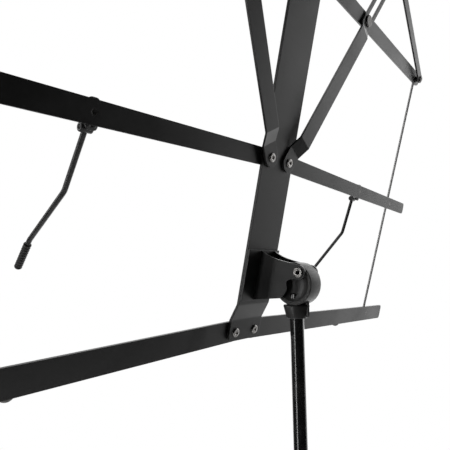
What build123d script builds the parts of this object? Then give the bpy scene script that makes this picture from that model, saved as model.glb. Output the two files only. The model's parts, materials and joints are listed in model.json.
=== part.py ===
"""Folding music stand: a flat-bar desk that folds up, on a three-section column with a folding tripod.

Frame: origin on the floor under the column, +Z up, the player stands at -Y, right is the player's right (+X).
The desk is drawn in its own upright frame: x along the desk, y towards its back, z up the stem, with the
stem's back face at y = 0 and the ledge pivots at z = 0. desk_place then leans it back on the tilt pivot.
All lengths are millimetres and all angles are degrees.
"""

import os
from math import atan2, cos, degrees, hypot, radians, sin

from build123d import *

# ---------------------------------------------------------------- overall set-up
DESK_LEAN = 13.4          # how far the desk leans back from upright
MIDDLE_OUT = 250.0        # how far the middle tube stands out of the lower one
ROD_OUT = 230.0           # how far the rod stands out of the middle tube
LEG_SPREAD = 58.0         # angle of each leg from the column
WING_DROOP = 2.0          # the wings hang this far below square

# ---------------------------------------------------------------- clearances
LAYER_GAP = 0.3           # between flat pieces that swing over one another
RUNNING = 0.06            # radial clearance of a pin in the hole it turns in
SLIDING = 0.25            # radial clearance of one tube in the next
END_PLAY = 0.15           # a rod's eye floats this much between a pin's heads, each way

# ---------------------------------------------------------------- desk stem and levels
STEM_WIDTH = 33.4
STEM_THICK = 2.0
STEM_TOP = 262.0
STEM_CORNER = 5.0
FOOT_BELOW = 6.0          # the foot plate ends this far under the ledge pivots
FOOT_SET = 4.1            # the foot stands this far in front of the stem
FOOT_BEND_TOP = 20.6
FOOT_BEND_LOW = 8.8
PIVOT_X = 10.2            # the two pivots at each level, either side of the middle
MID_LEVEL = 120.0
ARM_LEVEL = 251.0

# ---------------------------------------------------------------- wing pieces
REACH = 201.5             # from each pivot to the outer rod
BAR_THICK = 1.5
MID_WIDTH = 11.5
MID_LENGTH = 241.5
LEDGE_HEIGHT = 14.8
LEDGE_LENGTH = 240.0
SHELF_DEPTH = 22.0
SHELF_LENGTH = 205.0
LIP_HEIGHT = 4.0
ARM_WIDTH = 12.4
STRUT_WIDTH = 13.0
STRUT_STEP = 4.3          # the strut's middle stands out this far behind its lower end
CROSS_AT = 73.6           # where the strut crosses the arm, from the arm's pivot
SLOT_WIDTH = 6.4
LINK_WIDTH = 8.0
ROD_RADIUS = 1.15
EYE_RADIUS = 3.6
EYE_THICK = 2.5
END_CORNER = 3.0

# ---------------------------------------------------------------- rivets
RIVET_RADIUS = 1.5
HEAD_RADIUS = 2.7
HEAD_HEIGHT = 1.0
RIVET_BORE = 0.9

# ---------------------------------------------------------------- page holders
HOLDER_AT = 126.5         # from the middle bar's pivot
STRAP_WIDTH = 6.0
STRAP_THICK = 2.0
STRAP_ABOVE = 3.2         # the strap stands this far above the bar
HINGE_BELOW = 1.0         # the wire's hinge is this far under the bar's lower edge
HINGE_OUT = 5.2           # and this far in front of the bar's face
BARREL_RADIUS = 2.8
EAR_WIDTH = 1.2
FORK_DEPTH = 6.6
WIRE_RADIUS = 1.4
WIRE_UPPER = 33.0
WIRE_LOWER = 44.0
WIRE_TIP = 20.0
WIRE_BEND = 24.0          # the lower part leans this much more towards the player than the upper part
TIP_BEND = 15.0           # and the tip this much less than the lower part
WIRE_BEND_RADIUS = 9.0
SLEEVE_RADIUS = 2.1
SLEEVE_LENGTH = 17.0
HOLDER_SWING = {"right": 24.0, "left": 5.5}

# ---------------------------------------------------------------- tilt joint
BRACKET_X = -4.0          # the bracket and the column stand this far from the stem's middle
PIVOT_BACK = 32.4         # tilt pivot behind the stem's back face
PIVOT_UP = 50.1
HUB_BACK = 1.2            # the hub's disc stands this far behind the column's axis
PIVOT_OVER_BACK = 6.0     # the tilt pivot is this far behind the disc's centre
PIVOT_OVER_UP = 7.2       # and this far above it
HUB_RADIUS = 13.7
HUB_WIDTH = 12.6
HUB_RIM = 1.9
HUB_RECESS = 3.0
TILT_BOSS = 4.0
TILT_PIN = 2.0
TILT_HEAD = 3.2
TILT_BORE = 1.2
WASHER_THICK = 0.4
CHEEK_THICK = 1.5
BRACKET_LOW = 23.6
BRACKET_HIGH = 58.4
BRACKET_PLATE = 1.5
COLLAR_TOP = 8.4
COLLAR_LOW = 6.6
COLLAR_ABOVE = 13.4       # the collar's full width starts this far under the disc's centre
COLLAR_BELOW = 22.0       # the collar ends this far under the disc's centre
SOCKET_DEPTH = 16.0
SOCKET_BOSS = 6.2
FIN_THICK = 1.0
FIN_WIDTH = 2.4
FIN_HEIGHT = 11.0

# ---------------------------------------------------------------- column
ROD_TOP_RADIUS = 4.5
ROD_TOP_LENGTH = 400.0
MIDDLE_RADIUS = 7.0
MIDDLE_WALL = 1.0
MIDDLE_LENGTH = 400.0
LOWER_RADIUS = 9.5
LOWER_WALL = 1.2
LOWER_LENGTH = 400.0
COLUMN_FOOT = 28.0        # height of the lower tube's open end above the floor
CLAMP_WALL = 3.4
CLAMP_HEIGHT = 34.0
CLAMP_OVER = 22.0         # how much of a clamp grips its own tube
CLAMP_BOSS = 6.0
SCREW_RADIUS = 2.5
SCREW_GAP = 0.3
GRIP_RADIUS = 9.0
GRIP_THICK = 7.0
GRIP_LOBES = 6

# ---------------------------------------------------------------- tripod
LEG_COUNT = 3
LEG_AZIMUTH = 90.0
LEG_LENGTH = 330.0
LEG_WIDTH = 14.0
LEG_DEPTH = 12.0
LEG_WALL = 1.4
LEG_RING = 20.0           # radius of the circle that the leg pivots stand on
BRACE_LENGTH = 130.0
BRACE_THICK = 3.0
BRACE_WIDTH = 8.0
TRIPOD_PIN = 1.5
EAR_THICK = 2.0
HUB_RING_RADIUS = 13.2
SLIDER_HEIGHT = 22.0
HUB_HEIGHT = 20.0
TIP_LENGTH = 26.0
TIP_WALL = 1.6
TIP_END = 4.0

SIDES = {"right": 1, "left": -1}

# ---------------------------------------------------------------- layers, front to back, as y of each back face
MID_BACK = -STEM_THICK - LAYER_GAP
LEDGE_BACK = -FOOT_SET - STEM_THICK - LAYER_GAP
ARM_FRONT = LAYER_GAP
ARM_BACK = ARM_FRONT + BAR_THICK
STRUT_ROOT = ARM_FRONT
STRUT_TOP = ARM_BACK + LAYER_GAP
LINK_FRONT = STRUT_TOP + BAR_THICK + LAYER_GAP
LINK_BACK = LINK_FRONT + BAR_THICK
ROD_Y_TOP = ARM_FRONT - 2 * END_PLAY - EYE_THICK / 2
ROD_STAND = 1.1           # spacer that keeps the folded outer rod clear of the ledge
ROD_Y_LOW = LEDGE_BACK - BAR_THICK - END_PLAY - EYE_THICK / 2 - ROD_STAND

# ---------------------------------------------------------------- linkage worked out from the sizes above
RISE = ARM_LEVEL - MID_LEVEL
DROOP = radians(WING_DROOP)
CROSS_X = CROSS_AT * cos(DROOP)
CROSS_Z = RISE - CROSS_AT * sin(DROOP)
STRUT_LEAN = degrees(atan2(CROSS_X, CROSS_Z))
STRUT_CROSS = hypot(CROSS_X, CROSS_Z)
STRUT_FOLDED_CROSS = RISE + CROSS_AT


def strut_length():
    """Length that lets the strut, link and arm close both open and folded in line: both give the same link."""
    qx = REACH * cos(DROOP)
    qz = RISE - REACH * sin(DROOP)
    lean = radians(STRUT_LEAN)
    straight = RISE + REACH
    along = qx * sin(lean) + qz * cos(lean)
    return (straight**2 - qx**2 - qz**2) / (2 * (straight - along))


STRUT_LENGTH = strut_length()
LINK_LENGTH = RISE + REACH - STRUT_LENGTH
PEAK_X = STRUT_LENGTH * sin(radians(STRUT_LEAN))
PEAK_Z = MID_LEVEL + STRUT_LENGTH * cos(radians(STRUT_LEAN))
OUTER_X = REACH * cos(DROOP)
OUTER_Z = ARM_LEVEL - REACH * sin(DROOP)

# ---------------------------------------------------------------- heights worked out from the sizes above
LOWER_TOP = COLUMN_FOOT + LOWER_LENGTH
MIDDLE_TOP = LOWER_TOP + MIDDLE_OUT
ROD_TOP = MIDDLE_TOP + ROD_OUT
HUB_Z = ROD_TOP + COLLAR_BELOW - SOCKET_DEPTH
CHEEK_INNER = HUB_WIDTH / 2 + WASHER_THICK
CHEEK_OUTER = CHEEK_INNER + CHEEK_THICK
SPREAD = radians(LEG_SPREAD)
LEG_PIVOT_Z = LEG_LENGTH * cos(SPREAD)
BRACE_PIVOT_Z = LEG_PIVOT_Z - 2 * BRACE_LENGTH * cos(SPREAD)

LEAN = radians(DESK_LEAN)
PIVOT_Y = HUB_BACK + PIVOT_OVER_BACK
PIVOT_Z = HUB_Z + PIVOT_OVER_UP
DESK_X = -BRACKET_X
DESK_Y = PIVOT_Y - PIVOT_BACK * cos(LEAN) - PIVOT_UP * sin(LEAN)
DESK_Z = PIVOT_Z + PIVOT_BACK * sin(LEAN) - PIVOT_UP * cos(LEAN)
DESK_PLACE = Location((DESK_X, DESK_Y, DESK_Z), (-DESK_LEAN, 0, 0))


# ================================================================ helpers
def plate(outline, back, thick):
    """A flat piece in the desk's plane: the outline's y is the desk's z, its back face at y = back."""
    plane = Plane(origin=(0, back, 0), x_dir=(1, 0, 0), z_dir=(0, -1, 0))
    return extrude(plane * outline, amount=thick)


def peg(radius, back, front, x=0.0, z=0.0):
    """A round bar across the desk's plane, from y = back down to y = front."""
    plane = Plane(origin=(x, back, z), x_dir=(1, 0, 0), z_dir=(0, -1, 0))
    return extrude(plane * Circle(radius), amount=back - front)


def rod_between(start, end, radius):
    """A round bar from one point to another."""
    start = Vector(*start)
    end = Vector(*end)
    plane = Plane(origin=start, z_dir=end - start)
    return extrude(plane * Circle(radius), amount=(end - start).length)


def strip_outline(length, width, corner=END_CORNER):
    """A strip from a pivot at the origin along +x: round about the pivot, with small corners at the far end."""
    middle = length / 2
    bar = Pos(middle, 0) * Rectangle(length, width)
    bar = fillet(bar.vertices().sort_by(Axis.X)[-2:], corner)
    return bar + Circle(width / 2)


def link_outline(length, width):
    """A strip with round ends about the origin and about the point at length along +x."""
    return Pos(length / 2, 0) * Rectangle(length, width) + Circle(width / 2) + Pos(length, 0) * Circle(width / 2)


def swing(part, angle, x, z):
    """Turn a strip drawn along +x up by angle in the desk's plane and move its pivot to (x, z)."""
    return Pos(x, 0, z) * Rot(0, -angle, 0) * part


def on_side(part, side):
    """The piece as drawn for the player's right, or its mirror image for the left."""
    return part if SIDES[side] > 0 else mirror(part, about=Plane.YZ)


def rivet(back, front, x=0.0, z=0.0, nose=True):
    """A tubular rivet across the desk's plane: rolled head behind y = back, and before y = front or flush there."""
    rear = peg(HEAD_RADIUS, back + HEAD_HEIGHT, back, x, z)
    rear = fillet(rear.edges().filter_by(GeomType.CIRCLE).sort_by(Axis.Y)[-1], HEAD_HEIGHT * 0.6)
    body = peg(RIVET_RADIUS, back + HEAD_HEIGHT, front, x, z) + rear
    if nose:
        tip = peg(HEAD_RADIUS, front, front - HEAD_HEIGHT, x, z)
        body = body + fillet(tip.edges().filter_by(GeomType.CIRCLE).sort_by(Axis.Y)[0], HEAD_HEIGHT * 0.6)
    return body - peg(RIVET_BORE, back + HEAD_HEIGHT, back - HEAD_HEIGHT, x, z)


def hole(x=0.0, z=0.0, radius=RIVET_RADIUS + RUNNING):
    """A cutter for a pin's hole through any piece of the desk."""
    return peg(radius, PIVOT_BACK, -PIVOT_BACK, x, z)


# ================================================================ desk body
def make_stem():
    """Flat stem whose lower end steps forward to a foot plate; the pieces of both wings pivot on it."""
    top = (0, STEM_TOP)
    bend_top = (0, FOOT_BEND_TOP)
    bend_low = (-FOOT_SET, FOOT_BEND_LOW)
    foot = (-FOOT_SET, -FOOT_BELOW)
    back = [top, bend_top, bend_low, foot]
    front = [(y - STEM_THICK, z) for y, z in reversed(back)]
    profile = make_face(Polyline(*back, *front, close=True))
    bends = [v for v in profile.vertices() if FOOT_BEND_LOW - 1 < v.Y < FOOT_BEND_TOP + 1]
    profile = fillet(bends, 4.0)
    side_plane = Plane(origin=(-STEM_WIDTH / 2, 0, 0), x_dir=(0, 1, 0), z_dir=(1, 0, 0))
    body = extrude(side_plane * profile, amount=STEM_WIDTH)
    corners = body.edges().filter_by(Axis.Y).group_by(Axis.Z)
    body = fillet(corners[0] + corners[-1], STEM_CORNER)
    for x in (-PIVOT_X, PIVOT_X):
        for level in (0, MID_LEVEL, ARM_LEVEL):
            body = body - hole(x, level)
    for z in bracket_rivet_levels():
        body = body - hole(BRACKET_X, z, RIVET_RADIUS)
    return body


def bracket_rivet_levels():
    """Heights of the two rivets that hold the tilt bracket on the stem."""
    inset = 9.0
    return BRACKET_LOW + inset, BRACKET_HIGH - inset


def cheek_outline():
    """One cheek from the side: concave top edge to a round nose at the pivot, a notch, and a lower lobe."""
    nose = 4.6
    tip = ThreePointArc((PIVOT_BACK, PIVOT_UP + nose), (PIVOT_BACK + nose, PIVOT_UP), (PIVOT_BACK, PIVOT_UP - nose))
    top = Spline(
        (0, BRACKET_HIGH),
        (7.6, BRACKET_HIGH - 2.5),
        (17.0, BRACKET_HIGH - 3.6),
        (PIVOT_BACK, PIVOT_UP + nose),
        tangents=[(1, -0.35), (1, 0.0)],
    )
    notch = Spline(
        (PIVOT_BACK, PIVOT_UP - nose),
        (27.6, 44.4),
        (25.1, 42.4),
        (26.1, 38.0),
        (24.6, 33.6),
        (21.6, 30.5),
        tangents=[(-1, -0.1), (-1, -0.5)],
    )
    base = Polyline((21.6, 30.5), (0, BRACKET_LOW), (0, BRACKET_HIGH))
    return make_face([top, tip, notch, base])


def make_tilt_bracket():
    """Bracket on the stem's back: a plate as wide as the stem with two cheeks that hold the tilt hub."""
    plane = Plane(origin=(0, 0, (BRACKET_LOW + BRACKET_HIGH) / 2), x_dir=(1, 0, 0), z_dir=(0, 1, 0))
    body = extrude(plane * Rectangle(STEM_WIDTH, BRACKET_HIGH - BRACKET_LOW), amount=BRACKET_PLATE)
    for inner in (CHEEK_INNER, -CHEEK_OUTER):
        side_plane = Plane(origin=(BRACKET_X + inner, 0, 0), x_dir=(0, 1, 0), z_dir=(1, 0, 0))
        body = body + extrude(side_plane * cheek_outline(), amount=CHEEK_THICK)
    body = body - across(TILT_PIN, 2 * CHEEK_OUTER)
    for z in bracket_rivet_levels():
        body = body - hole(BRACKET_X, z, RIVET_RADIUS)
    return body


def across(radius, width, y=PIVOT_BACK, z=PIVOT_UP, x=BRACKET_X):
    """A round bar along x, centred on x, at the tilt pivot unless told otherwise."""
    plane = Plane(origin=(x - width / 2, y, z), x_dir=(0, 1, 0), z_dir=(1, 0, 0))
    return extrude(plane * Circle(radius), amount=width)


def make_tilt_rivet():
    """Tubular pivot rivet through both cheeks and the hub, with a rolled head on each cheek."""
    roll = 1.1
    body = across(TILT_PIN, 2 * CHEEK_OUTER)
    for sign in (1, -1):
        cap = across(TILT_HEAD, roll, x=BRACKET_X + sign * (CHEEK_OUTER + roll / 2))
        outer_edge = cap.edges().filter_by(GeomType.CIRCLE).sort_by(Axis.X)[-1 if sign > 0 else 0]
        body = body + fillet(outer_edge, roll * 0.8)
    return body - across(TILT_BORE, 2 * CHEEK_OUTER + 2 * roll)


def make_tilt_washers():
    """Two thin washers between the hub and the cheeks."""
    washers = []
    for sign in (1, -1):
        centre = BRACKET_X + sign * (HUB_WIDTH / 2 + WASHER_THICK / 2)
        ring = across(TILT_BOSS, WASHER_THICK, x=centre) - across(TILT_PIN + RUNNING, WASHER_THICK, x=centre)
        washers.append(ring)
    return Compound(children=washers)


def make_bracket_rivets():
    """The two rivets that hold the bracket on the stem."""
    return Compound(children=[rivet(BRACKET_PLATE, -STEM_THICK, BRACKET_X, z) for z in bracket_rivet_levels()])


def make_desk_rivets():
    """Tubular rivets in the stem: the pivots of the ledges, of the bars with the struts, and of the arms."""
    spans = {
        0: (-FOOT_SET, LEDGE_BACK - BAR_THICK),
        MID_LEVEL: (STRUT_ROOT + BAR_THICK, MID_BACK - BAR_THICK),
        ARM_LEVEL: (ARM_BACK, -STEM_THICK),
    }
    pins = []
    for level, (back, front) in spans.items():
        for x in (-PIVOT_X, PIVOT_X):
            pins.append(rivet(back, front, x, level, nose=level != ARM_LEVEL))
    return Compound(children=pins)


# ================================================================ wing pieces, drawn for the player's right
def rod_offset(z):
    """The outer rod's centre line in y: it runs straight from the arm, over the bar, to the ledge's front."""
    low = -REACH * sin(DROOP)
    high = OUTER_Z
    return ROD_Y_LOW + (ROD_Y_TOP - ROD_Y_LOW) * (z - low) / (high - low)


def rod_at_bar():
    """The rod's y where it crosses the middle bar."""
    return rod_offset(MID_LEVEL - REACH * sin(DROOP))


def make_ledge():
    """Bottom bar: a flat back flange with a shelf for the pages and a low front lip."""
    flange = plate(strip_outline(LEDGE_LENGTH, LEDGE_HEIGHT), LEDGE_BACK, BAR_THICK)
    shelf_front = LEDGE_BACK - BAR_THICK - SHELF_DEPTH
    low = -LEDGE_HEIGHT / 2
    corner = 6.0
    depth = LEDGE_BACK - shelf_front
    outline = Pos(SHELF_LENGTH / 2, shelf_front + depth / 2) * Rectangle(SHELF_LENGTH, depth)
    outline = fillet(outline.vertices().sort_by(Axis.Y)[:2], corner)
    shelf = extrude(Pos(0, 0, low) * outline, amount=BAR_THICK)
    lip = Pos(SHELF_LENGTH / 2, shelf_front + BAR_THICK / 2, low + LIP_HEIGHT / 2) * Box(
        SHELF_LENGTH - 2 * corner, BAR_THICK, LIP_HEIGHT
    )
    body = flange + shelf + lip - hole() - hole(REACH)
    return swing(body, -WING_DROOP, PIVOT_X, 0)


def make_ledge_pins():
    """On the ledge: the outer rod's pin, a nub under the shelf, and a rivet head under its inner end."""
    rod_y = rod_offset(-REACH * sin(DROOP))
    front = rod_y - EYE_THICK / 2 - END_PLAY
    pin = peg(RIVET_RADIUS, LEDGE_BACK, front - HEAD_HEIGHT, REACH)
    pin = pin + peg(HEAD_RADIUS, front, front - HEAD_HEIGHT, REACH)
    pin = pin + peg(HEAD_RADIUS, LEDGE_BACK - BAR_THICK, LEDGE_BACK - BAR_THICK - ROD_STAND, REACH)
    low = -LEDGE_HEIGHT / 2
    nub_at = 144.0
    nub = Pos(nub_at, LEDGE_BACK - 6.0, low) * (Sphere(4.0) & Pos(0, 0, -4.0) * Box(8, 8, 8))
    stud_at = 6.0
    stud = Pos(stud_at, LEDGE_BACK - 5.0, low - 0.8) * Cylinder(2.0, 1.6)
    return swing(Compound(children=[pin, nub, stud]), -WING_DROOP, PIVOT_X, 0)


def make_mid_bar():
    """Middle bar: a plain flat strip."""
    body = plate(strip_outline(MID_LENGTH, MID_WIDTH), MID_BACK, BAR_THICK)
    body = body - hole() - hole(REACH) - hole(HOLDER_AT, 0, RIVET_RADIUS)
    return swing(body, -WING_DROOP, PIVOT_X, MID_LEVEL)


def make_mid_bar_pins():
    """On the middle bar: the outer rod's pin with its spacer, and the page holder's rivet."""
    rod_y = rod_at_bar()
    front = rod_y - EYE_THICK / 2 - END_PLAY
    pin = peg(RIVET_RADIUS, MID_BACK, front - HEAD_HEIGHT, REACH)
    pin = pin + peg(HEAD_RADIUS, front, front - HEAD_HEIGHT, REACH)
    pin = pin + peg(HEAD_RADIUS, MID_BACK - BAR_THICK, rod_y + EYE_THICK / 2 + END_PLAY, REACH)
    strap_front = MID_BACK - BAR_THICK - STRAP_THICK
    stud = peg(RIVET_RADIUS, MID_BACK, strap_front - HEAD_HEIGHT, HOLDER_AT)
    stud = stud + peg(HEAD_RADIUS, strap_front, strap_front - HEAD_HEIGHT, HOLDER_AT)
    return swing(Compound(children=[pin, stud]), -WING_DROOP, PIVOT_X, MID_LEVEL)


def hinge_point():
    """The page holder's hinge on the bar, before the bar is swung into place: x, y, z."""
    return HOLDER_AT, MID_BACK - BAR_THICK - HINGE_OUT, -MID_WIDTH / 2 - HINGE_BELOW


def make_holder_strap():
    """Strap on the bar's front, from just above the bar to a cup that the wire's ball turns in."""
    x, y, z = hinge_point()
    top = MID_WIDTH / 2 + STRAP_ABOVE
    face = MID_BACK - BAR_THICK
    outline = Pos(x, (top + z) / 2) * Rectangle(STRAP_WIDTH, top - z)
    outline = fillet(outline.vertices().sort_by(Axis.Y)[-2:], STRAP_WIDTH / 2 - 0.2)
    body = plate(outline, face, STRAP_THICK)
    reach = Pos(x, (face + y) / 2, z) * Box(STRAP_WIDTH, face - y, 2 * BARREL_RADIUS)
    fork = reach + across(BARREL_RADIUS, STRAP_WIDTH, y, z, x)
    body = body + fork - Pos(x, y, z) * Box(STRAP_WIDTH - 2 * EAR_WIDTH, FORK_DEPTH, 4 * BARREL_RADIUS)
    body = body - hole(x, 0, RIVET_RADIUS)
    body = body - across(1.0 + RUNNING, STRAP_WIDTH, y, z, x)
    return swing(body, -WING_DROOP, PIVOT_X, MID_LEVEL)


def wire_points(side):
    """The wire's corner points in the bar's frame: down from the hinge, out towards the player, then less so."""
    first = HOLDER_SWING[side]
    second = first + WIRE_BEND
    points = [hinge_point()]
    for length, angle in ((WIRE_UPPER, first), (WIRE_LOWER, second), (WIRE_TIP, second - TIP_BEND)):
        x, y, z = points[-1]
        points.append((x, y - length * sin(radians(angle)), z - length * cos(radians(angle))))
    return points


def make_holder_wire(side):
    """Bent spring wire with a flattened hinge end, and its cross pin in the strap."""
    points = wire_points(side)
    start = points[0]
    eye_width = STRAP_WIDTH - 2 * EAR_WIDTH - 2 * LAYER_GAP
    path = FilletPolyline(*points, radius=WIRE_BEND_RADIUS)
    section = Plane(origin=path @ 0, z_dir=path % 0) * Circle(WIRE_RADIUS)
    wire = sweep(section, path=path)
    eye = across(BARREL_RADIUS - 0.6, eye_width, start[1], start[2], start[0])
    pin = across(1.0, STRAP_WIDTH, start[1], start[2], start[0])
    return swing(wire + eye + pin, -WING_DROOP, PIVOT_X, MID_LEVEL)


def make_holder_sleeve(side):
    """Soft sleeve over the wire's free end."""
    bend, end = (Vector(*point) for point in wire_points(side)[-2:])
    along = (end - bend).normalized()
    cover = 1.5
    start = end - along * SLEEVE_LENGTH
    outer = rod_between(start, end + along * cover, SLEEVE_RADIUS)
    bore = rod_between(start, end, WIRE_RADIUS)
    return swing(outer - bore, -WING_DROOP, PIVOT_X, MID_LEVEL)


def make_arm():
    """Upper arm: a flat strip on the stem's back."""
    body = plate(link_outline(REACH, ARM_WIDTH), ARM_BACK, BAR_THICK)
    body = body - hole() - hole(REACH)
    return swing(body, -WING_DROOP, PIVOT_X, ARM_LEVEL)


def make_arm_pin():
    """Rivet at the arm's outer end: the outer rod's eye turns before the arm, the link behind it on a spacer."""
    front = ROD_Y_TOP - EYE_THICK / 2 - END_PLAY
    pin = rivet(LINK_BACK + END_PLAY, front, REACH)
    pin = pin + peg(HEAD_RADIUS, LINK_FRONT - END_PLAY, ARM_BACK, REACH)
    return swing(pin, -WING_DROOP, PIVOT_X, ARM_LEVEL)


def strut_profile():
    """The strut's thickness line from the side: low end, step out, long middle, step back in at the crossing."""
    ramp = 9.0
    first = 9.5
    second = STRUT_CROSS - 13.5
    end = STRUT_LENGTH + STRUT_WIDTH / 2
    start = -STRUT_WIDTH / 2
    high = STRUT_ROOT + STRUT_STEP
    front = [
        (start, STRUT_ROOT),
        (first, STRUT_ROOT),
        (first + ramp, high),
        (second, high),
        (second + ramp * 0.8, STRUT_TOP),
        (end, STRUT_TOP),
    ]
    back = [(s, y + BAR_THICK) for s, y in reversed(front)]
    return make_face(Polyline(*front, *back, close=True))


def make_strut():
    """Diagonal strut: a stepped flat strip with a long slot beyond the crossing."""
    plane = Plane(origin=(0, 0, -STRUT_WIDTH / 2), x_dir=(1, 0, 0), z_dir=(0, 0, 1))
    body = extrude(plane * strut_profile(), amount=STRUT_WIDTH)
    envelope = plate(link_outline(STRUT_LENGTH, STRUT_WIDTH), PIVOT_BACK, 2 * PIVOT_BACK)
    body = body & envelope
    slot_start = STRUT_CROSS - SLOT_WIDTH / 2 + RIVET_RADIUS
    slot_end = STRUT_FOLDED_CROSS + 1.0
    slot = Pos((slot_start + slot_end) / 2, 0) * Rectangle(slot_end - slot_start, SLOT_WIDTH)
    slot = slot + Pos(slot_start, 0) * Circle(SLOT_WIDTH / 2) + Pos(slot_end, 0) * Circle(SLOT_WIDTH / 2)
    body = body - plate(slot, PIVOT_BACK, 2 * PIVOT_BACK)
    body = body - hole() - hole(STRUT_LENGTH, 0, RIVET_RADIUS)
    return swing(body, 90 - STRUT_LEAN, PIVOT_X, MID_LEVEL)


def make_slot_rivet():
    """Rivet that rides in the strut's slot, over the arm."""
    shank = SLOT_WIDTH / 2 - 0.2
    head = 4.6
    back = STRUT_TOP + BAR_THICK
    body = peg(shank, back, STRUT_TOP, STRUT_CROSS)
    dome = peg(head, back + 0.1 + HEAD_HEIGHT, back + 0.1, STRUT_CROSS)
    dome = fillet(dome.edges().filter_by(GeomType.CIRCLE).sort_by(Axis.Y)[-1], HEAD_HEIGHT * 0.7)
    body = body + dome + peg(shank, back + 0.2, back, STRUT_CROSS)
    return swing(body, 90 - STRUT_LEAN, PIVOT_X, MID_LEVEL)


def make_peak_rivet():
    """Flush rivet in the strut's upper end, under the link's own rivet head."""
    body = peg(RIVET_RADIUS, STRUT_TOP + BAR_THICK, STRUT_TOP, STRUT_LENGTH)
    return swing(body, 90 - STRUT_LEAN, PIVOT_X, MID_LEVEL)


def make_link():
    """Upper link behind arm and strut; the rivet head at its strut end is one piece with it."""
    body = plate(link_outline(LINK_LENGTH, LINK_WIDTH), LINK_BACK, BAR_THICK) - hole()
    head = peg(HEAD_RADIUS, LINK_BACK + HEAD_HEIGHT, LINK_BACK, LINK_LENGTH)
    head = fillet(head.edges().filter_by(GeomType.CIRCLE).sort_by(Axis.Y)[-1], HEAD_HEIGHT * 0.6)
    body = body + head
    rise = PEAK_Z - OUTER_Z
    run = PEAK_X - OUTER_X
    return swing(body, degrees(atan2(rise, run)), PIVOT_X + OUTER_X, OUTER_Z)


def make_outer_rod():
    """Thin rod down the wing's outer end, flattened to an eye at the arm, the bar and the ledge."""
    x = PIVOT_X + OUTER_X
    low = -REACH * sin(DROOP)
    levels = (OUTER_Z, MID_LEVEL + low, low)
    body = rod_between((x, rod_offset(OUTER_Z), OUTER_Z), (x, rod_offset(low), low), ROD_RADIUS)
    for z in levels:
        y = rod_offset(z)
        body = body + peg(EYE_RADIUS, y + EYE_THICK / 2, y - EYE_THICK / 2, x, z)
    for z in levels:
        body = body - hole(x, z)
    return body


# ================================================================ hub and column
def make_tilt_hub():
    """Tilt hub: a disc with a recess each side, over a tapered collar that the rod seats in."""
    recesses = None
    for sign in (1, -1):
        recess = hub_bar(HUB_RADIUS - HUB_RIM, HUB_RECESS, sign * (HUB_WIDTH - HUB_RECESS) / 2)
        recesses = recess if recesses is None else recesses + recess
    neck_height = COLLAR_ABOVE - HUB_RADIUS / 2
    neck = Pos(0, 0, HUB_Z - COLLAR_ABOVE + neck_height / 2) * Cylinder(COLLAR_TOP, neck_height)
    neck = neck & hub_bar(2 * HUB_RADIUS, HUB_WIDTH)
    body = hub_bar(HUB_RADIUS, HUB_WIDTH) + neck - recesses + pivot_bar(TILT_BOSS, HUB_WIDTH)
    low = HUB_Z - COLLAR_BELOW
    collar_height = COLLAR_BELOW - COLLAR_ABOVE
    body = body + Pos(0, 0, low + collar_height / 2) * Cone(COLLAR_LOW, COLLAR_TOP, collar_height)
    boss_height = SOCKET_DEPTH + 1.5
    body = body + (Pos(0, 0, low + boss_height / 2) * Cylinder(SOCKET_BOSS, boss_height))
    fin_y = COLLAR_TOP + FIN_WIDTH / 2 - 1.6
    fin = Pos(0, fin_y, HUB_Z - COLLAR_BELOW + 1.0 + FIN_HEIGHT / 2) * Box(FIN_THICK, FIN_WIDTH, FIN_HEIGHT)
    body = body + fin
    body = body - Pos(0, 0, low + SOCKET_DEPTH / 2) * Cylinder(ROD_TOP_RADIUS + RUNNING, SOCKET_DEPTH)
    return body - pivot_bar(TILT_PIN + RUNNING, HUB_WIDTH)


def hub_bar(radius, width, x=0.0):
    """A round bar along x through the centre of the hub's disc."""
    plane = Plane(origin=(x - width / 2, HUB_BACK, HUB_Z), x_dir=(0, 1, 0), z_dir=(1, 0, 0))
    return extrude(plane * Circle(radius), amount=width)


def pivot_bar(radius, width):
    """A round bar along x through the tilt pivot."""
    plane = Plane(origin=(-width / 2, PIVOT_Y, PIVOT_Z), x_dir=(0, 1, 0), z_dir=(1, 0, 0))
    return extrude(plane * Circle(radius), amount=width)


def make_upper_rod():
    """Solid rod that carries the desk."""
    rod = Cylinder(ROD_TOP_RADIUS, ROD_TOP_LENGTH)
    rod = fillet(rod.edges().filter_by(GeomType.CIRCLE), 0.6)
    return Pos(0, 0, ROD_TOP - 0.3 - ROD_TOP_LENGTH / 2) * rod


def tube(radius, wall, length, top):
    """A round tube on the column's axis that ends at top."""
    place = Pos(0, 0, top - length / 2)
    return place * (Cylinder(radius, length) - Cylinder(radius - wall, length))


def make_middle_tube():
    """Middle section of the column."""
    return tube(MIDDLE_RADIUS, MIDDLE_WALL, MIDDLE_LENGTH, MIDDLE_TOP)


def make_lower_tube():
    """Lower section of the column, which the tripod stands on."""
    return tube(LOWER_RADIUS, LOWER_WALL, LOWER_LENGTH, LOWER_TOP)


def make_tube_plug():
    """Plug in the lower tube's open end."""
    flange = 3.0
    depth = 14.0
    stem = Cylinder(LOWER_RADIUS - LOWER_WALL, depth)
    cap = Cylinder(LOWER_RADIUS, flange)
    cap = fillet(cap.edges().filter_by(GeomType.CIRCLE).sort_by(Axis.Z)[0], flange * 0.6)
    return Pos(0, 0, COLUMN_FOOT + depth / 2) * stem + Pos(0, 0, COLUMN_FOOT - flange / 2) * cap


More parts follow.
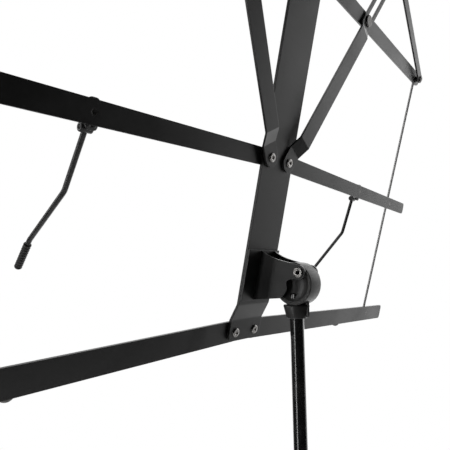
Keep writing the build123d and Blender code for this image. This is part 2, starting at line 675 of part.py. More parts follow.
def make_clamp(tube_radius, slide_radius, tube_top):
    """Clamp on a tube's top end: it grips the tube and guides the next section, with a boss for its screw."""
    outer = tube_radius + CLAMP_WALL
    top = tube_top + CLAMP_HEIGHT - CLAMP_OVER
    low = tube_top - CLAMP_OVER
    body = Pos(0, 0, (top + low) / 2) * Cylinder(outer, CLAMP_HEIGHT)
    rims = body.edges().filter_by(GeomType.CIRCLE)
    body = fillet(rims, 1.2)
    boss_z = screw_height(tube_top)
    boss = Pos(0, 0, boss_z) * Rot(-90, 0, 0) * Pos(0, 0, (outer + 4.0) / 2) * Cylinder(CLAMP_BOSS, outer + 4.0)
    body = body + boss
    body = body - Pos(0, 0, tube_top - CLAMP_OVER / 2) * Cylinder(tube_radius, CLAMP_OVER)
    body = body - Pos(0, 0, (top + low) / 2) * Cylinder(slide_radius + SLIDING, CLAMP_HEIGHT)
    bore = Rot(-90, 0, 0) * Pos(0, 0, outer) * Cylinder(SCREW_RADIUS + RUNNING, 2 * outer)
    return body - Pos(0, 0, boss_z) * bore


def screw_height(tube_top):
    """Height of a clamp's screw: in the part of the clamp above its tube."""
    return tube_top + (CLAMP_HEIGHT - CLAMP_OVER) / 2


def make_thumb_screw(reach, tip, place):
    """Thumb screw along +y: a shank from tip outwards and a lobed grip starting at reach."""
    shank = Rot(-90, 0, 0) * Pos(0, 0, (reach + tip) / 2) * Cylinder(SCREW_RADIUS, reach - tip)
    grip = Circle(GRIP_RADIUS)
    for i in range(GRIP_LOBES):
        grip = grip - Rot(0, 0, (i + 0.5) * 360 / GRIP_LOBES) * Pos(GRIP_RADIUS + 2.4, 0) * Circle(4.2)
    knob = extrude(grip, amount=GRIP_THICK)
    knob = chamfer(knob.faces().sort_by(Axis.Z)[-1].edges(), 0.8)
    neck = Cylinder(5.0, 3.0)
    knob = Pos(0, 0, 2.5) * knob + Pos(0, 0, 1.5) * neck
    knob = Rot(-90, 0, 0) * Pos(0, 0, reach) * knob
    return place * (shank + knob)


def clamp_screw(tube_radius, slide_radius, tube_top):
    """The thumb screw of the clamp on a tube."""
    reach = tube_radius + CLAMP_WALL + 4.0 + SCREW_GAP
    return make_thumb_screw(reach, slide_radius + SCREW_GAP, Pos(0, 0, screw_height(tube_top)))


# ================================================================ tripod
def leg_turn(index):
    """Turn about the column to one leg's azimuth."""
    return Rot(0, 0, LEG_AZIMUTH + index * 360 / LEG_COUNT)


def make_bottom_hub():
    """Fixed hub at the column's foot, with a pair of ears for each brace."""
    body = Pos(0, 0, BRACE_PIVOT_Z) * Cylinder(HUB_RING_RADIUS, HUB_HEIGHT)
    ear_radius = BRACE_WIDTH / 2 + 0.2
    inner = BRACE_THICK / 2 + LAYER_GAP
    for i in range(LEG_COUNT):
        for side in (-1, 1):
            centre = side * (inner + EAR_THICK / 2)
            arm = Pos(LEG_RING / 2, centre, 0) * Box(LEG_RING, EAR_THICK, 2 * ear_radius)
            tip = Pos(LEG_RING, centre, 0) * Rot(90, 0, 0) * Cylinder(ear_radius, EAR_THICK)
            ear = arm + tip - Pos(LEG_RING, centre, 0) * Rot(90, 0, 0) * Cylinder(TRIPOD_PIN, EAR_THICK)
            body = body + Pos(0, 0, BRACE_PIVOT_Z) * leg_turn(i) * ear
        path = Pos(LEG_RING, 0, 0) * Box(2 * LEG_RING - 2 * HUB_RING_RADIUS + 6.0, 2 * inner, HUB_HEIGHT * 3)
        body = body - Pos(0, 0, BRACE_PIVOT_Z) * leg_turn(i) * path
    return body - Pos(0, 0, BRACE_PIVOT_Z) * Cylinder(LOWER_RADIUS, HUB_HEIGHT)


def make_hub_rivets():
    """Short rivets in the bottom hub's ears, which the braces' lower ends hook on."""
    inner = BRACE_THICK / 2 + LAYER_GAP
    studs = []
    head = 0.8
    for i in range(LEG_COUNT):
        for side in (-1, 1):
            y = side * (inner + EAR_THICK / 2)
            shank = Pos(LEG_RING, y, 0) * Rot(90, 0, 0) * Cylinder(TRIPOD_PIN, EAR_THICK)
            cap_y = side * (inner + EAR_THICK + head / 2)
            cap = Pos(LEG_RING, cap_y, 0) * Rot(90, 0, 0) * Cylinder(TRIPOD_PIN + 0.9, head)
            studs.append(Pos(0, 0, BRACE_PIVOT_Z) * leg_turn(i) * (shank + cap))
    return Compound(children=studs)


def lug_half():
    """Half the width of the slider's lug, which fits between a leg's walls."""
    return LEG_WIDTH / 2 - LEG_WALL - LAYER_GAP


def make_tripod_slider():
    """Ring that slides on the lower tube and carries the three legs, with a boss for its lock screw."""
    body = Cylinder(HUB_RING_RADIUS, SLIDER_HEIGHT)
    body = fillet(body.edges().filter_by(GeomType.CIRCLE), 1.0)
    lug_radius = 5.0
    for i in range(LEG_COUNT):
        arm = Pos(LEG_RING / 2, 0, 0) * Box(LEG_RING, 2 * lug_half(), 2 * lug_radius)
        tip = Pos(LEG_RING, 0, 0) * Rot(90, 0, 0) * Cylinder(lug_radius, 2 * lug_half())
        bore = Pos(LEG_RING, 0, 0) * Rot(90, 0, 0) * Cylinder(TRIPOD_PIN, 2 * lug_half())
        body = body + leg_turn(i) * (arm + tip - bore)
    boss_length = HUB_RING_RADIUS + 4.0
    lock = lock_turn()
    body = body + lock * Rot(-90, 0, 0) * Pos(0, 0, boss_length / 2) * Cylinder(CLAMP_BOSS, boss_length)
    body = body - Cylinder(LOWER_RADIUS + SLIDING, SLIDER_HEIGHT)
    bore = lock * Rot(-90, 0, 0) * Pos(0, 0, boss_length) * Cylinder(SCREW_RADIUS + RUNNING, 2 * boss_length)
    return Pos(0, 0, LEG_PIVOT_Z) * (body - bore)


def lock_turn():
    """Turn that points the lock screw midway between two legs."""
    return Rot(0, 0, LEG_AZIMUTH - 90 + 180 / LEG_COUNT)


def make_slider_pins():
    """The legs' pivot pins, fixed in the slider's lugs."""
    pins = []
    length = LEG_WIDTH + 2 * 0.2
    head = 1.2
    for i in range(LEG_COUNT):
        pin = Rot(90, 0, 0) * Cylinder(TRIPOD_PIN, length)
        for side in (-1, 1):
            pin = pin + Pos(0, side * (length + head) / 2, 0) * Rot(90, 0, 0) * Cylinder(TRIPOD_PIN + 1.2, head)
        pins.append(Pos(0, 0, LEG_PIVOT_Z) * leg_turn(i) * Pos(LEG_RING, 0, 0) * pin)
    return Compound(children=pins)


def leg_place(index):
    """Place of a leg drawn hanging straight down from its pivot, spread to the standing angle."""
    return Pos(0, 0, LEG_PIVOT_Z) * leg_turn(index) * Pos(LEG_RING, 0, 0) * Rot(0, -LEG_SPREAD, 0)


def make_leg(index):
    """Leg: a channel open towards the column, with its web cut back clear of the pivot."""
    top = 5.0
    web_start = 8.0
    length = LEG_LENGTH + top
    body = Pos(0, 0, top - length / 2) * Box(LEG_DEPTH, LEG_WIDTH, length)
    gutter = Pos(-LEG_WALL, 0, top - length / 2) * Box(LEG_DEPTH, LEG_WIDTH - 2 * LEG_WALL, length)
    body = body - gutter
    window = Pos(LEG_DEPTH / 2, 0, (top - web_start) / 2) * Box(
        2 * LEG_WALL + 2.0, LEG_WIDTH - 2 * LEG_WALL, top + web_start
    )
    body = body - window
    across_leg = Rot(90, 0, 0) * Cylinder(TRIPOD_PIN + RUNNING, 2 * LEG_WIDTH)
    body = body - across_leg
    body = body - Pos(0, 0, -BRACE_LENGTH) * Rot(90, 0, 0) * Cylinder(TRIPOD_PIN, 2 * LEG_WIDTH)
    corners = body.edges().filter_by(Axis.Y).group_by(Axis.Z)[-1]
    body = fillet(corners, 3.0)
    floor_cut = Pos(0, 0, -50) * Box(4 * LEG_LENGTH, 4 * LEG_LENGTH, 100 + 2 * TIP_WALL)
    return leg_place(index) * body - floor_cut


def make_leg_tip(index):
    """Rubber boot over a leg's end, with a flat underside on the floor."""
    sleeve = TIP_LENGTH + TIP_END
    outer = Pos(0, 0, -LEG_LENGTH + TIP_LENGTH - sleeve / 2) * Box(
        LEG_DEPTH + 2 * TIP_WALL, LEG_WIDTH + 2 * TIP_WALL, sleeve
    )
    outer = fillet(outer.edges().filter_by(Axis.Z), 2.4)
    outer = leg_place(index) * outer
    bore = Pos(0, 0, -LEG_LENGTH + TIP_LENGTH / 2) * Box(LEG_DEPTH, LEG_WIDTH, TIP_LENGTH)
    bore = leg_place(index) * bore
    slab = Pos(0, 0, -50) * Box(4 * LEG_LENGTH, 4 * LEG_LENGTH, 100)
    over = Pos(0, 0, -50) * Box(4 * LEG_LENGTH, 4 * LEG_LENGTH, 100 + 2 * TIP_WALL)
    return outer - slab - (bore - over)


def make_leg_rivet(index):
    """Rivet through a leg's walls that its brace turns on."""
    head = 1.0
    length = LEG_WIDTH
    pin = Rot(90, 0, 0) * Cylinder(TRIPOD_PIN, length)
    for side in (-1, 1):
        pin = pin + Pos(0, side * (length + head) / 2, 0) * Rot(90, 0, 0) * Cylinder(TRIPOD_PIN + 1.0, head)
    return leg_place(index) * Pos(0, 0, -BRACE_LENGTH) * pin


def make_brace(index):
    """Brace: a flat strip from the leg's rivet to the bottom hub."""
    half = Rot(90, 0, 0) * Cylinder(BRACE_WIDTH / 2, BRACE_THICK)
    body = Pos(0, 0, BRACE_LENGTH / 2) * Box(BRACE_WIDTH, BRACE_THICK, BRACE_LENGTH)
    body = body + half + Pos(0, 0, BRACE_LENGTH) * half
    body = body - Pos(0, 0, BRACE_LENGTH) * Rot(90, 0, 0) * Cylinder(TRIPOD_PIN + RUNNING, 2 * BRACE_THICK)
    foot = Pos(0, 0, BRACE_PIVOT_Z) * leg_turn(index) * Pos(LEG_RING, 0, 0) * Rot(0, LEG_SPREAD, 0)
    return foot * body


# ================================================================ the whole stand
def desk_nodes():
    """Every piece of the desk, in the desk's own frame."""
    nodes = {
        "stem": make_stem(),
        "tilt_bracket": make_tilt_bracket(),
        "bracket_rivets": make_bracket_rivets(),
        "desk_rivets": make_desk_rivets(),
        "tilt_rivet": make_tilt_rivet(),
        "tilt_washers": make_tilt_washers(),
    }
    for side in SIDES:
        pieces = {
            "ledge": make_ledge(),
            "ledge_pins": make_ledge_pins(),
            "mid_bar": make_mid_bar(),
            "mid_bar_pins": make_mid_bar_pins(),
            "holder_strap": make_holder_strap(),
            "holder_wire": make_holder_wire(side),
            "holder_sleeve": make_holder_sleeve(side),
            "arm": make_arm(),
            "arm_pin": make_arm_pin(),
            "strut": make_strut(),
            "slot_rivet": make_slot_rivet(),
            "peak_rivet": make_peak_rivet(),
            "link": make_link(),
            "outer_rod": make_outer_rod(),
        }
        for name, piece in pieces.items():
            nodes[f"{side}_{name}"] = on_side(piece, side)
    return nodes


def column_nodes():
    """Every piece of the hub, the column and the tripod, where it stands."""
    nodes = {
        "tilt_hub": make_tilt_hub(),
        "upper_rod": make_upper_rod(),
        "middle_tube": make_middle_tube(),
        "upper_clamp": make_clamp(MIDDLE_RADIUS, ROD_TOP_RADIUS, MIDDLE_TOP),
        "upper_clamp_screw": clamp_screw(MIDDLE_RADIUS, ROD_TOP_RADIUS, MIDDLE_TOP),
        "lower_tube": make_lower_tube(),
        "lower_clamp": make_clamp(LOWER_RADIUS, MIDDLE_RADIUS, LOWER_TOP),
        "lower_clamp_screw": clamp_screw(LOWER_RADIUS, MIDDLE_RADIUS, LOWER_TOP),
        "tube_plug": make_tube_plug(),
        "bottom_hub": make_bottom_hub(),
        "bottom_hub_rivets": make_hub_rivets(),
        "tripod_slider": make_tripod_slider(),
        "slider_pins": make_slider_pins(),
        "tripod_lock_screw": make_thumb_screw(
            HUB_RING_RADIUS + 4.0 + SCREW_GAP, LOWER_RADIUS + SCREW_GAP, Pos(0, 0, LEG_PIVOT_Z) * lock_turn()
        ),
    }
    for i in range(LEG_COUNT):
        nodes[f"leg_{i + 1}"] = make_leg(i)
        nodes[f"leg_{i + 1}_tip"] = make_leg_tip(i)
        nodes[f"leg_{i + 1}_rivet"] = make_leg_rivet(i)
        nodes[f"brace_{i + 1}"] = make_brace(i)
    return nodes


def main():
    """Write one STEP file for each piece."""
    os.makedirs("parts", exist_ok=True)
    for name, piece in desk_nodes().items():
        export_step(DESK_PLACE * piece, f"parts/{name}.step")
    for name, piece in column_nodes().items():
        export_step(piece, f"parts/{name}.step")


main()
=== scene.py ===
"""Folding music stand: finishes, riveted details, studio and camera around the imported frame, in metres."""

import json
import math

import bpy
import numpy as np
from mathutils import Matrix, Vector


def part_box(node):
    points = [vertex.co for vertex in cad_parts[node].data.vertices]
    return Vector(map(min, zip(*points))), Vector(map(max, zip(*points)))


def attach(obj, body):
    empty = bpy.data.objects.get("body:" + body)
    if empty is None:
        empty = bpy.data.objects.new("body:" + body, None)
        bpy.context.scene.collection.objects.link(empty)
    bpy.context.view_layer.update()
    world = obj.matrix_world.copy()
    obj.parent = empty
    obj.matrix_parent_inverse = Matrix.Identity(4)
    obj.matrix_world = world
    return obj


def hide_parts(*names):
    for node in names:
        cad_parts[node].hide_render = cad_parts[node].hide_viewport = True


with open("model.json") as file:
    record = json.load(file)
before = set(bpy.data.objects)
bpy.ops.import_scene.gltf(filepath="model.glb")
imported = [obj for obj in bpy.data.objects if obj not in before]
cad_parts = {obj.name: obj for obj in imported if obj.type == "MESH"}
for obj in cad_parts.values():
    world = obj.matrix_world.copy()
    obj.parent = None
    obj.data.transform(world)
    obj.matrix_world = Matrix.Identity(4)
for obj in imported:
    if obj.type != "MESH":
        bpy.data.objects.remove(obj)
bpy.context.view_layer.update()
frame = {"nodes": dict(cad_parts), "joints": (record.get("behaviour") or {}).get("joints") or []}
MM = 0.001
SIDES = ("right", "left")
JOINTS = {joint["name"]: joint for joint in frame["joints"]}


# ---------------------------------------------------------------- the desk's own directions
def joint_place(name):
    """Where a hinge's axis passes, as an array in metres."""
    return np.array(JOINTS[name]["pos_m"], float)


def unit(vector):
    """The same direction with a length of one."""
    vector = np.asarray(vector, float)
    return vector / np.linalg.norm(vector)


DESK_CENTRE = (joint_place("right_ledge_fold") + joint_place("left_ledge_fold")) / 2
DESK_RIGHT = unit(joint_place("right_ledge_fold") - joint_place("left_ledge_fold"))
DESK_UP = unit(joint_place("right_bar_fold") - joint_place("right_ledge_fold"))
DESK_BACK = np.cross(DESK_UP, DESK_RIGHT)
DESK_AXES = np.column_stack([DESK_RIGHT, DESK_BACK, DESK_UP])


# ---------------------------------------------------------------- camera
CAMERA_PLACE = (0.2311, 0.1691, 0.0855)     # right of, behind and above the ledge pivots, along the desk
CAMERA_LOOK = (-0.7425, -0.6679, -0.0515)
CAMERA_DOWN = (-0.0700, 0.1538, -0.9856)
CAMERA_LENS = 33.40


def make_camera():
    """The camera stands close behind the desk's right wing and looks across the tilt joint."""
    look = unit(DESK_AXES @ CAMERA_LOOK)
    down = DESK_AXES @ CAMERA_DOWN
    right = unit(np.cross(down, look))
    up = np.cross(right, look)
    data = bpy.data.cameras.new("camera")
    data.lens = CAMERA_LENS
    data.sensor_width = 36.0
    data.clip_start = 0.01
    camera = bpy.data.objects.new("camera", data)
    turn = Matrix([[right[i], up[i], -look[i]] for i in range(3)]).to_4x4()
    camera.matrix_world = Matrix.Translation(Vector(DESK_CENTRE + DESK_AXES @ CAMERA_PLACE)) @ turn
    bpy.context.scene.collection.objects.link(camera)
    bpy.context.scene.camera = camera


make_camera()


# ---------------------------------------------------------------- node helpers
class Finish:
    """A material under construction: keeps its node tree and places nodes with few words."""

    def __init__(self, name):
        self.material = bpy.data.materials.new(name)
        self.material.use_nodes = True
        self.tree = self.material.node_tree
        self.shader = self.tree.nodes["Principled BSDF"]
        self.place = self.node("ShaderNodeTexCoord").outputs["Object"]

    def node(self, kind, **values):
        """Adds a node, and sets its properties or its input sockets by name."""
        made = self.tree.nodes.new(kind)
        for key, value in values.items():
            if hasattr(made, key):
                setattr(made, key, value)
            else:
                made.inputs[key.replace("_", " ")].default_value = value
        return made

    def link(self, output, target):
        """Joins an output to an input socket."""
        self.tree.links.new(output, target)

    def stretched(self, scale):
        """Object coordinates scaled by three factors, for patterns that run along one direction."""
        mapping = self.node("ShaderNodeMapping")
        mapping.inputs["Scale"].default_value = scale
        self.link(self.place, mapping.inputs["Vector"])
        return mapping.outputs["Vector"]

    def noise(self, scale, detail=3.0, roughness=0.55, where=None):
        """Fractal noise at so many cells to the metre."""
        made = self.node("ShaderNodeTexNoise", Scale=scale, Detail=detail, Roughness=roughness)
        self.link(where or self.place, made.inputs["Vector"])
        return made.outputs["Fac"]

    def cells(self, scale, where=None):
        """Distance to the nearest scattered point."""
        made = self.node("ShaderNodeTexVoronoi", Scale=scale)
        self.link(where or self.place, made.inputs["Vector"])
        return made.outputs["Distance"]

    def remap(self, value, low, high, out_low, out_high):
        """Stretches the part of a value between low and high onto a new range, and clamps it there."""
        made = self.node("ShaderNodeMapRange")
        limits = {"From Min": low, "From Max": high, "To Min": out_low, "To Max": out_high}
        for socket, number in limits.items():
            made.inputs[socket].default_value = number
        self.link(value, made.inputs["Value"])
        return made.outputs["Result"]

    def colours(self, value, *stops):
        """A colour ramp with the given (position, colour) stops."""
        made = self.node("ShaderNodeValToRGB")
        ramp = made.color_ramp.elements
        while len(ramp) < len(stops):
            ramp.new(0.5)
        for element, (position, colour) in zip(ramp, stops):
            element.position = position
            element.color = (*colour, 1.0)
        self.link(value, made.inputs["Fac"])
        return made.outputs["Color"]

    def mix(self, share, first, second):
        """Blends two colour outputs by a share."""
        made = self.node("ShaderNodeMix", data_type="RGBA")
        self.link(share, made.inputs["Factor"])
        self.link(first, made.inputs[6])
        self.link(second, made.inputs[7])
        return made.outputs[2]

    def add(self, first, second, weight=1.0):
        """First plus weight times second."""
        made = self.node("ShaderNodeMath", operation="MULTIPLY_ADD")
        self.link(second, made.inputs[0])
        made.inputs[1].default_value = weight
        self.link(first, made.inputs[2])
        return made.outputs[0]

    def bump(self, height, depth, strength=1.0, edge=0.0):
        """Raises the surface by a height pattern of a depth in metres, over edges shaded as if rounded."""
        made = self.node("ShaderNodeBump", Strength=strength, Distance=depth)
        if edge:
            rounded = self.node("ShaderNodeBevel", samples=6, Radius=edge)
            self.link(rounded.outputs["Normal"], made.inputs["Normal"])
        self.link(height, made.inputs["Height"])
        self.link(made.outputs["Normal"], self.shader.inputs["Normal"])

    def set(self, **values):
        """Sets shader sockets that are the same all over."""
        for key, value in values.items():
            self.shader.inputs[key.replace("_", " ")].default_value = value

    def drive(self, socket, output):
        """Gives a shader socket a pattern."""
        self.link(output, self.shader.inputs[socket])


EDGE_ROUND = 0.45 * MM


def grey(level, warmth=0.0):
    """A grey, a little warmer or cooler."""
    return (level * (1 + warmth), level, level * (1 - warmth))


def satin_paint(name, level, gloss, peel=1500.0, dust=0.02):
    """Satin enamel on steel strip: orange peel, cloudy sheen, rubbed patches, dust and hairlines."""
    paint = Finish(name)
    clouds = paint.noise(38.0, 4.0)
    rubbed = paint.noise(160.0, 6.0, 0.7)
    base = paint.colours(clouds, (0.3, grey(level * 0.75)), (0.7, grey(level * 1.2, 0.02)))
    specks = paint.colours(rubbed, (0.5, grey(level)), (0.8, grey(level + dust, 0.06)))
    share = paint.remap(paint.noise(620.0, 3.0, 0.6), 0.58, 0.75, 0.0, 0.8)
    paint.drive("Base Color", paint.mix(share, base, specks))
    hairs = paint.noise(90.0, 2.0, 0.5, paint.stretched((0.35, 6.0, 9.0)))
    sheen = paint.remap(clouds, 0.3, 0.7, gloss - 0.05, gloss + 0.06)
    scratches = paint.remap(hairs, 0.6, 0.75, 0.0, 1.0)
    paint.drive("Roughness", paint.add(sheen, scratches, 0.05))
    grain = paint.add(paint.noise(peel, 2.0), paint.noise(peel * 3.1, 2.0), 0.35)
    paint.bump(grain, 0.00003, 0.3, edge=EDGE_ROUND)
    paint.set(Specular_IOR_Level=0.55, Coat_Weight=0.12, Coat_Roughness=0.3)
    return paint.material


def gloss_tube(name):
    """Gloss coating on drawn tube: deep black, faint draw lines, fingerprints and a clear top coat."""
    coat = Finish(name)
    smudges = coat.noise(70.0, 5.0, 0.65)
    coat.drive("Base Color", coat.colours(smudges, (0.35, grey(0.010)), (0.75, grey(0.022, 0.02))))
    lines = coat.noise(240.0, 2.0, 0.5, coat.stretched((4.0, 4.0, 0.06)))
    rough = coat.add(coat.remap(smudges, 0.4, 0.75, 0.16, 0.30), coat.remap(lines, 0.55, 0.8, 0.0, 1.0), 0.08)
    coat.drive("Roughness", rough)
    coat.bump(coat.add(lines, coat.noise(1900.0, 2.0), 0.4), 0.00003, 0.35)
    coat.set(Specular_IOR_Level=0.6, Coat_Weight=0.6, Coat_Roughness=0.09)
    return coat.material


def spring_wire(name):
    """Black spring wire: thin coating over drawn steel, with lighter rubbed specks."""
    wire = Finish(name)
    rubs = wire.noise(420.0, 5.0, 0.7)
    wire.drive("Base Color", wire.colours(rubs, (0.45, grey(0.022)), (0.8, grey(0.075, 0.04))))
    wire.drive("Roughness", wire.remap(wire.noise(150.0, 3.0), 0.3, 0.7, 0.26, 0.42))
    wire.bump(wire.noise(2600.0, 2.0), 0.00004, 0.4)
    wire.set(Specular_IOR_Level=0.6, Metallic=0.25)
    return wire.material


def plated_steel(name, level, wear):
    """Plated tubular rivet: bright rolled metal with a fine grain and tarnish in patches."""
    plate = Finish(name)
    tarnish = plate.noise(900.0, 4.0, 0.65)
    stops = (0.35, grey(level * wear, 0.05)), (0.6, grey(level, 0.02))
    plate.drive("Base Color", plate.colours(tarnish, *stops))
    plate.drive("Roughness", plate.remap(plate.noise(1700.0, 3.0), 0.3, 0.75, 0.18, 0.42))
    plate.bump(plate.add(plate.noise(3200.0, 2.0), plate.cells(1500.0), 0.3), 0.00005, 0.35)
    plate.set(Metallic=1.0)
    return plate.material


def rod_steel(name):
    """Dull plated wire: pale zinc with a soft cloudy sheen and fine draw marks."""
    zinc = Finish(name)
    clouds = zinc.noise(300.0, 3.0)
    zinc.drive("Base Color", zinc.colours(clouds, (0.3, grey(0.48)), (0.7, grey(0.60, 0.01))))
    zinc.drive("Roughness", zinc.remap(zinc.noise(900.0, 2.0), 0.3, 0.7, 0.34, 0.5))
    zinc.bump(zinc.noise(2400.0, 2.0), 0.00002, 0.25)
    zinc.set(Metallic=0.45)
    return zinc.material


def moulded(name, level, gloss):
    """Moulded nylon: spark-eroded grain, cloudy sheen and a little dust in the grain."""
    nylon = Finish(name)
    grain = nylon.add(nylon.cells(1400.0), nylon.noise(2600.0, 3.0), 0.6)
    clouds = nylon.noise(90.0, 4.0)
    stops = (0.3, grey(level * 0.8)), (0.75, grey(level * 1.35, 0.03))
    nylon.drive("Base Color", nylon.colours(clouds, *stops))
    nylon.drive("Roughness", nylon.remap(grain, 0.2, 1.0, gloss - 0.06, gloss + 0.12))
    nylon.bump(grain, 0.00005, 0.3, edge=EDGE_ROUND)
    nylon.set(Specular_IOR_Level=0.5)
    return nylon.material


def soft_rubber(name):
    """Dipped rubber: matt, slightly powdery, with a fine pimpled skin."""
    rubber = Finish(name)
    bloom = rubber.noise(120.0, 5.0, 0.7)
    rubber.drive("Base Color", rubber.colours(bloom, (0.3, grey(0.018)), (0.8, grey(0.045, 0.04))))
    rubber.drive("Roughness", rubber.remap(bloom, 0.3, 0.75, 0.58, 0.8))
    rubber.bump(rubber.add(rubber.cells(1800.0), rubber.noise(900.0, 3.0), 0.8), 0.0001, 0.5)
    rubber.set(Sheen_Weight=0.15, Sheen_Roughness=0.5)
    return rubber.material


SATIN = satin_paint("satin black enamel", 0.013, 0.38, dust=0.008)
FLANGE = satin_paint("flat black bracket enamel", 0.012, 0.34, peel=1100.0, dust=0.008)
GLOSS = gloss_tube("gloss black tube coat")
WIRE = spring_wire("black spring wire")
NICKEL = plated_steel("plated tubular rivet", 0.55, 0.5)
ROD_STEEL = rod_steel("dull plated steel wire")
DARK_RIVET = plated_steel("blackened rivet", 0.16, 0.4)
NYLON = moulded("moulded nylon", 0.020, 0.36)
HUB_NYLON = moulded("hub nylon", 0.030, 0.30)
RUBBER = soft_rubber("dipped rubber")


# ---------------------------------------------------------------- surfaces worked out with numpy
def frame_along(axis):
    """Two directions at right angles to an axis and to each other."""
    axis = unit(axis)
    side = np.cross(axis, [0.0, 0.0, 1.0] if abs(axis[2]) < 0.9 else [1.0, 0.0, 0.0])
    side = unit(side)
    return side, np.cross(axis, side)


def add_piece(name, points, faces, body, finish, slot, replaced, smooth=True):
    """Makes a mesh piece with its place in its points, and hides the frame nodes it stands for."""
    mesh = bpy.data.meshes.new(name)
    mesh.from_pydata(points.tolist(), [], faces.tolist())
    mesh.polygons.foreach_set("use_smooth", np.full(len(faces), smooth))
    mesh.update()
    mesh.materials.append(finish)
    piece = bpy.data.objects.new(name, mesh)
    bpy.context.scene.collection.objects.link(piece)
    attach(piece, body)
    if replaced:
        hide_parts(*replaced)
    return piece


def ring_faces(rows, columns, first=0):
    """Quads between closed rings of points, row i joined to row i + 1, and the last row to the first."""
    i, j = np.meshgrid(np.arange(rows), np.arange(columns), indexing="ij")
    below, beside = (i + 1) % rows, (j + 1) % columns
    here, under = i * columns, below * columns
    quads = np.stack([here + j, here + beside, under + beside, under + j], -1)
    return quads.reshape(-1, 4) + first


def turned(place, axis, loop, steps=48):
    """A closed loop of (radius, height) points turned about an axis through a place.

    Point (i, j) = place + height_i * axis + radius_i * (side * cos a_j + across * sin a_j).
    """
    axis = unit(axis)
    side, across = frame_along(axis)
    loop = np.asarray(loop, float)
    angle = np.linspace(0, 2 * math.pi, steps, endpoint=False)
    spoke = np.outer(np.cos(angle), side) + np.outer(np.sin(angle), across)
    points = np.asarray(place) + loop[:, 1][:, None, None] * axis + loop[:, 0][:, None, None] * spoke[None]
    area = 0.5 * np.sum(loop[:, 0] * np.roll(loop[:, 1], -1) - np.roll(loop[:, 0], -1) * loop[:, 1])
    faces = ring_faces(len(loop), steps)
    return points.reshape(-1, 3), faces if area > 0 else faces[:, ::-1]


def node_points(node):
    """All corner points of a frame node, as an array."""
    points = np.zeros(len(frame["nodes"][node].data.vertices) * 3)
    frame["nodes"][node].data.vertices.foreach_get("co", points)
    return points.reshape(-1, 3)


def reach_near(node, place, axis, radius):
    """Lowest and highest distance along an axis of a node's points that lie near that axis."""
    offset = node_points(node) - place
    height = offset @ axis
    apart = np.linalg.norm(offset - np.outer(height, axis), axis=1)
    return height[apart < radius].min(), height[apart < radius].max()


def arc(centre, radius, start, stop, steps):
    """Points on a circle in the (radius, height) plane, between two angles in degrees."""
    angle = np.radians(np.linspace(start, stop, steps))
    return np.column_stack([centre[0] + radius * np.cos(angle), centre[1] + radius * np.sin(angle)])


def rolled_loop(low, high, shank, head, bore, roll):
    """Outline of a tubular rivet: a plain lower rim, a shank and a head with a rolled rim."""
    top = high - roll
    outer = arc((head - roll, top), roll, -60, 90, 10)
    inner = arc((bore + roll * 0.7, top), roll, 90, 180, 7)
    inner[:, 0] = np.maximum(inner[:, 0], bore)
    return np.vstack([outer, inner, np.array([(bore, low), (shank, low), (shank, top - roll * 0.9)])])


def join(parts):
    """Several (points, faces) pairs as one pair."""
    points, faces, count = [], [], 0
    for corner, face in parts:
        points.append(corner)
        faces.append(face + count)
        count += len(corner)
    return np.vstack(points), np.vstack(faces)


DESK_RIVET_SHANK = 1.95 * MM
DESK_RIVET_HEAD = 3.1 * MM
DESK_RIVET_BORE = 1.05 * MM
DESK_RIVET_ROLL = 0.75 * MM


def make_desk_rivets():
    """Tubular rivets of the six wing pivots, rolled over on the back of the bars."""
    parts = []
    for side in SIDES:
        for level in ("ledge_fold", "bar_fold", "wing_fold"):
            place = joint_place(f"{side}_{level}")
            low, high = reach_near("desk_rivets", place, DESK_BACK, 3.5 * MM)
            loop = rolled_loop(low, high, DESK_RIVET_SHANK, DESK_RIVET_HEAD, DESK_RIVET_BORE, DESK_RIVET_ROLL)
            parts.append(turned(place, DESK_BACK, loop))
    points, faces = join(parts)
    add_piece("pivot_rivets", points, faces, "desk", NICKEL, "bright_rivet", ["desk_rivets"])


def make_tilt_rivet():
    """Tubular rivet of the tilt joint: a rolled ring outside each cheek on a hollow shank."""
    place = joint_place("desk_tilt")
    low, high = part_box("tilt_rivet")
    centre = np.array([(low.x + high.x) / 2, place[1], place[2]])
    half = (high.x - low.x) / 2
    head, bore = (high.z - low.z) / 2, 1.25 * MM
    roll = 0.6 * MM
    outline = []
    for sign in (1, -1):
        rim = arc((head - roll, half - roll), roll, -70, 90, 9)
        lip = arc((bore + roll, half - roll), roll, 90, 180, 7)
        edge = np.vstack([rim, lip])
        outline.append(edge if sign > 0 else edge[::-1] * [1, -1])
    shank = 1.95 * MM
    loop = np.vstack([outline[0], outline[1], [(shank, -half + 2.2 * roll)], [(shank, half - 2.2 * roll)]])
    points, faces = turned(centre, DESK_RIGHT, loop, 56)
    add_piece("tilt_ring_rivet", points, faces, "desk", NICKEL, "satin_black", ["tilt_rivet"])


